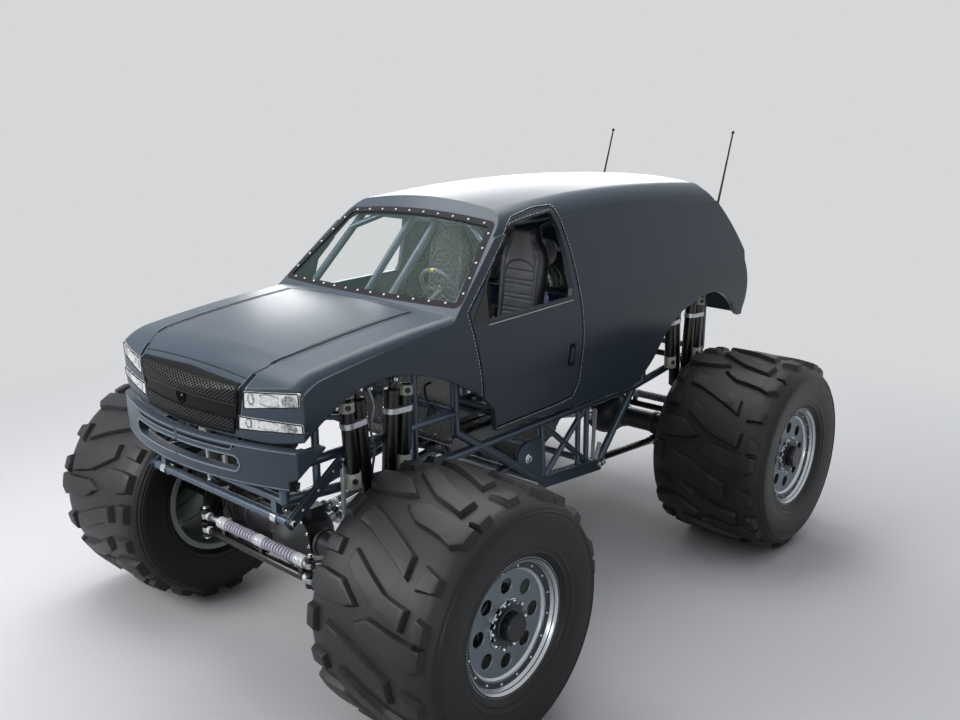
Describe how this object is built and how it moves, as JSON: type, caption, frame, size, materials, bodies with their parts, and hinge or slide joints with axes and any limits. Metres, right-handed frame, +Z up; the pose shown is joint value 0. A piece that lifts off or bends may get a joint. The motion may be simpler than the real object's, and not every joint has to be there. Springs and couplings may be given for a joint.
{
  "type": "monster truck",
  "caption": "Four-wheel-steered monster truck with a hollow body on a tube frame, long twin shocks, terra tyres, opening doors and hood, roll cage and bucket seats.",
  "frame": {"origin": "on the floor, midway between the axles and between the sides", "axes": "+X forward, +Y to the driver's side, the truck's left, +Z up"},
  "size_m": [5.7069, 4.039, 3.53],
  "materials": {
    "paint": "satin",
    "frame_paint": "satin",
    "black_metal": "satin",
    "glass": "gloss",
    "lens": "gloss",
    "red_lens": "gloss",
    "grille": "matte",
    "tyre": "matte",
    "rim": "polished",
    "steel": "brushed",
    "leather": "satin",
    "floor": "satin",
    "engine": "satin",
    "wheel_grip": "matte"
  },
  "bodies": {
    "chassis": {"body_shell": "paint", "screen_frames": "black_metal", "screen_glass": "glass", "grille": "grille", "headlamps": "lens", "tail_lamps": "red_lens", "front_bumper": "paint", "front_frame": "frame_paint", "belly_frame": "frame_paint", "rear_frame": "frame_paint", "front_axle": "black_metal", "rear_axle": "black_metal", "shocks_front_left": "black_metal", "shocks_front_right": "black_metal", "shocks_rear_left": "black_metal", "shocks_rear_right": "black_metal", "front_links": "frame_paint", "rear_links": "frame_paint", "front_sway_bar": "black_metal", "rear_sway_bar": "black_metal", "driveline": "steel", "roll_cage": "frame_paint", "floor_pan": "floor", "seat_left": "leather", "seat_right": "leather", "steering_wheel": "wheel_grip", "engine_block": "engine", "antennas": "black_metal"},
    "hood": {"hood": "paint"},
    "door_left": {"door_left": "paint"},
    "door_right": {"door_right": "paint"},
    "knuckle_front_left": {"knuckle_front_left": "black_metal"},
    "wheel_front_left": {"rim_front_left": "rim", "tyre_front_left": "tyre"},
    "knuckle_front_right": {"knuckle_front_right": "black_metal"},
    "wheel_front_right": {"rim_front_right": "rim", "tyre_front_right": "tyre"},
    "steer_link_front": {"front_steer_link": "black_metal"},
    "knuckle_rear_left": {"knuckle_rear_left": "black_metal"},
    "wheel_rear_left": {"rim_rear_left": "rim", "tyre_rear_left": "tyre"},
    "knuckle_rear_right": {"knuckle_rear_right": "black_metal"},
    "wheel_rear_right": {"rim_rear_right": "rim", "tyre_rear_right": "tyre"},
    "steer_link_rear": {"rear_steer_link": "black_metal"}
  },
  "joints": [
    {"name": "door_left_hinge", "type": "hinge", "parent": "chassis", "child": "door_left", "pos_m": [1.175, 0.985, 2], "axis": [0, 0, -1], "range_deg": [0, 60]},
    {"name": "door_right_hinge", "type": "hinge", "parent": "chassis", "child": "door_right", "pos_m": [1.175, -0.985, 2], "axis": [0, 0, 1], "range_deg": [0, 60]},
    {"name": "hood_hinge", "type": "hinge", "parent": "chassis", "child": "hood", "pos_m": [1.4, 0, 2.487], "axis": [0, -1, 0], "range_deg": [0, 50]},
    {"name": "steer_front_left", "type": "hinge", "parent": "chassis", "child": "knuckle_front_left", "pos_m": [1.888, 0.93, 0.838], "axis": [0, 0, 1], "range_deg": [-20, 20]},
    {"name": "spin_front_left", "type": "hinge", "parent": "knuckle_front_left", "child": "wheel_front_left", "pos_m": [1.888, 1.502, 0.838], "axis": [0, 1, 0], "continuous": true},
    {"name": "steer_front_right", "type": "hinge", "parent": "chassis", "child": "knuckle_front_right", "pos_m": [1.888, -0.93, 0.838], "axis": [0, 0, 1], "range_deg": [-20, 20]},
    {"name": "spin_front_right", "type": "hinge", "parent": "knuckle_front_right", "child": "wheel_front_right", "pos_m": [1.888, -1.502, 0.838], "axis": [0, 1, 0], "continuous": true},
    {"name": "steer_link_front_pivot", "type": "hinge", "parent": "knuckle_front_left", "child": "steer_link_front", "pos_m": [2.3, 0.59, 0.8915], "axis": [0, 0, 1], "range_deg": [-32, 32]},
    {"name": "steer_rear_left", "type": "hinge", "parent": "chassis", "child": "knuckle_rear_left", "pos_m": [-1.888, 0.93, 0.838], "axis": [0, 0, 1], "range_deg": [-20, 20]},
    {"name": "spin_rear_left", "type": "hinge", "parent": "knuckle_rear_left", "child": "wheel_rear_left", "pos_m": [-1.888, 1.502, 0.838], "axis": [0, 1, 0], "continuous": true},
    {"name": "steer_rear_right", "type": "hinge", "parent": "chassis", "child": "knuckle_rear_right", "pos_m": [-1.888, -0.93, 0.838], "axis": [0, 0, 1], "range_deg": [-20, 20]},
    {"name": "spin_rear_right", "type": "hinge", "parent": "knuckle_rear_right", "child": "wheel_rear_right", "pos_m": [-1.888, -1.502, 0.838], "axis": [0, 1, 0], "continuous": true},
    {"name": "steer_link_rear_pivot", "type": "hinge", "parent": "knuckle_rear_left", "child": "steer_link_rear", "pos_m": [-2.3, 0.59, 0.8915], "axis": [0, 0, 1], "range_deg": [-32, 32]}
  ],
  "couplings": [
    {"joint": "steer_front_right", "follows": "steer_front_left", "ratio": 1},
    {"joint": "steer_link_front_pivot", "follows": "steer_front_left", "ratio": -1.556},
    {"joint": "steer_rear_right", "follows": "steer_rear_left", "ratio": 1},
    {"joint": "steer_link_rear_pivot", "follows": "steer_rear_left", "ratio": -1.556}
  ]
}
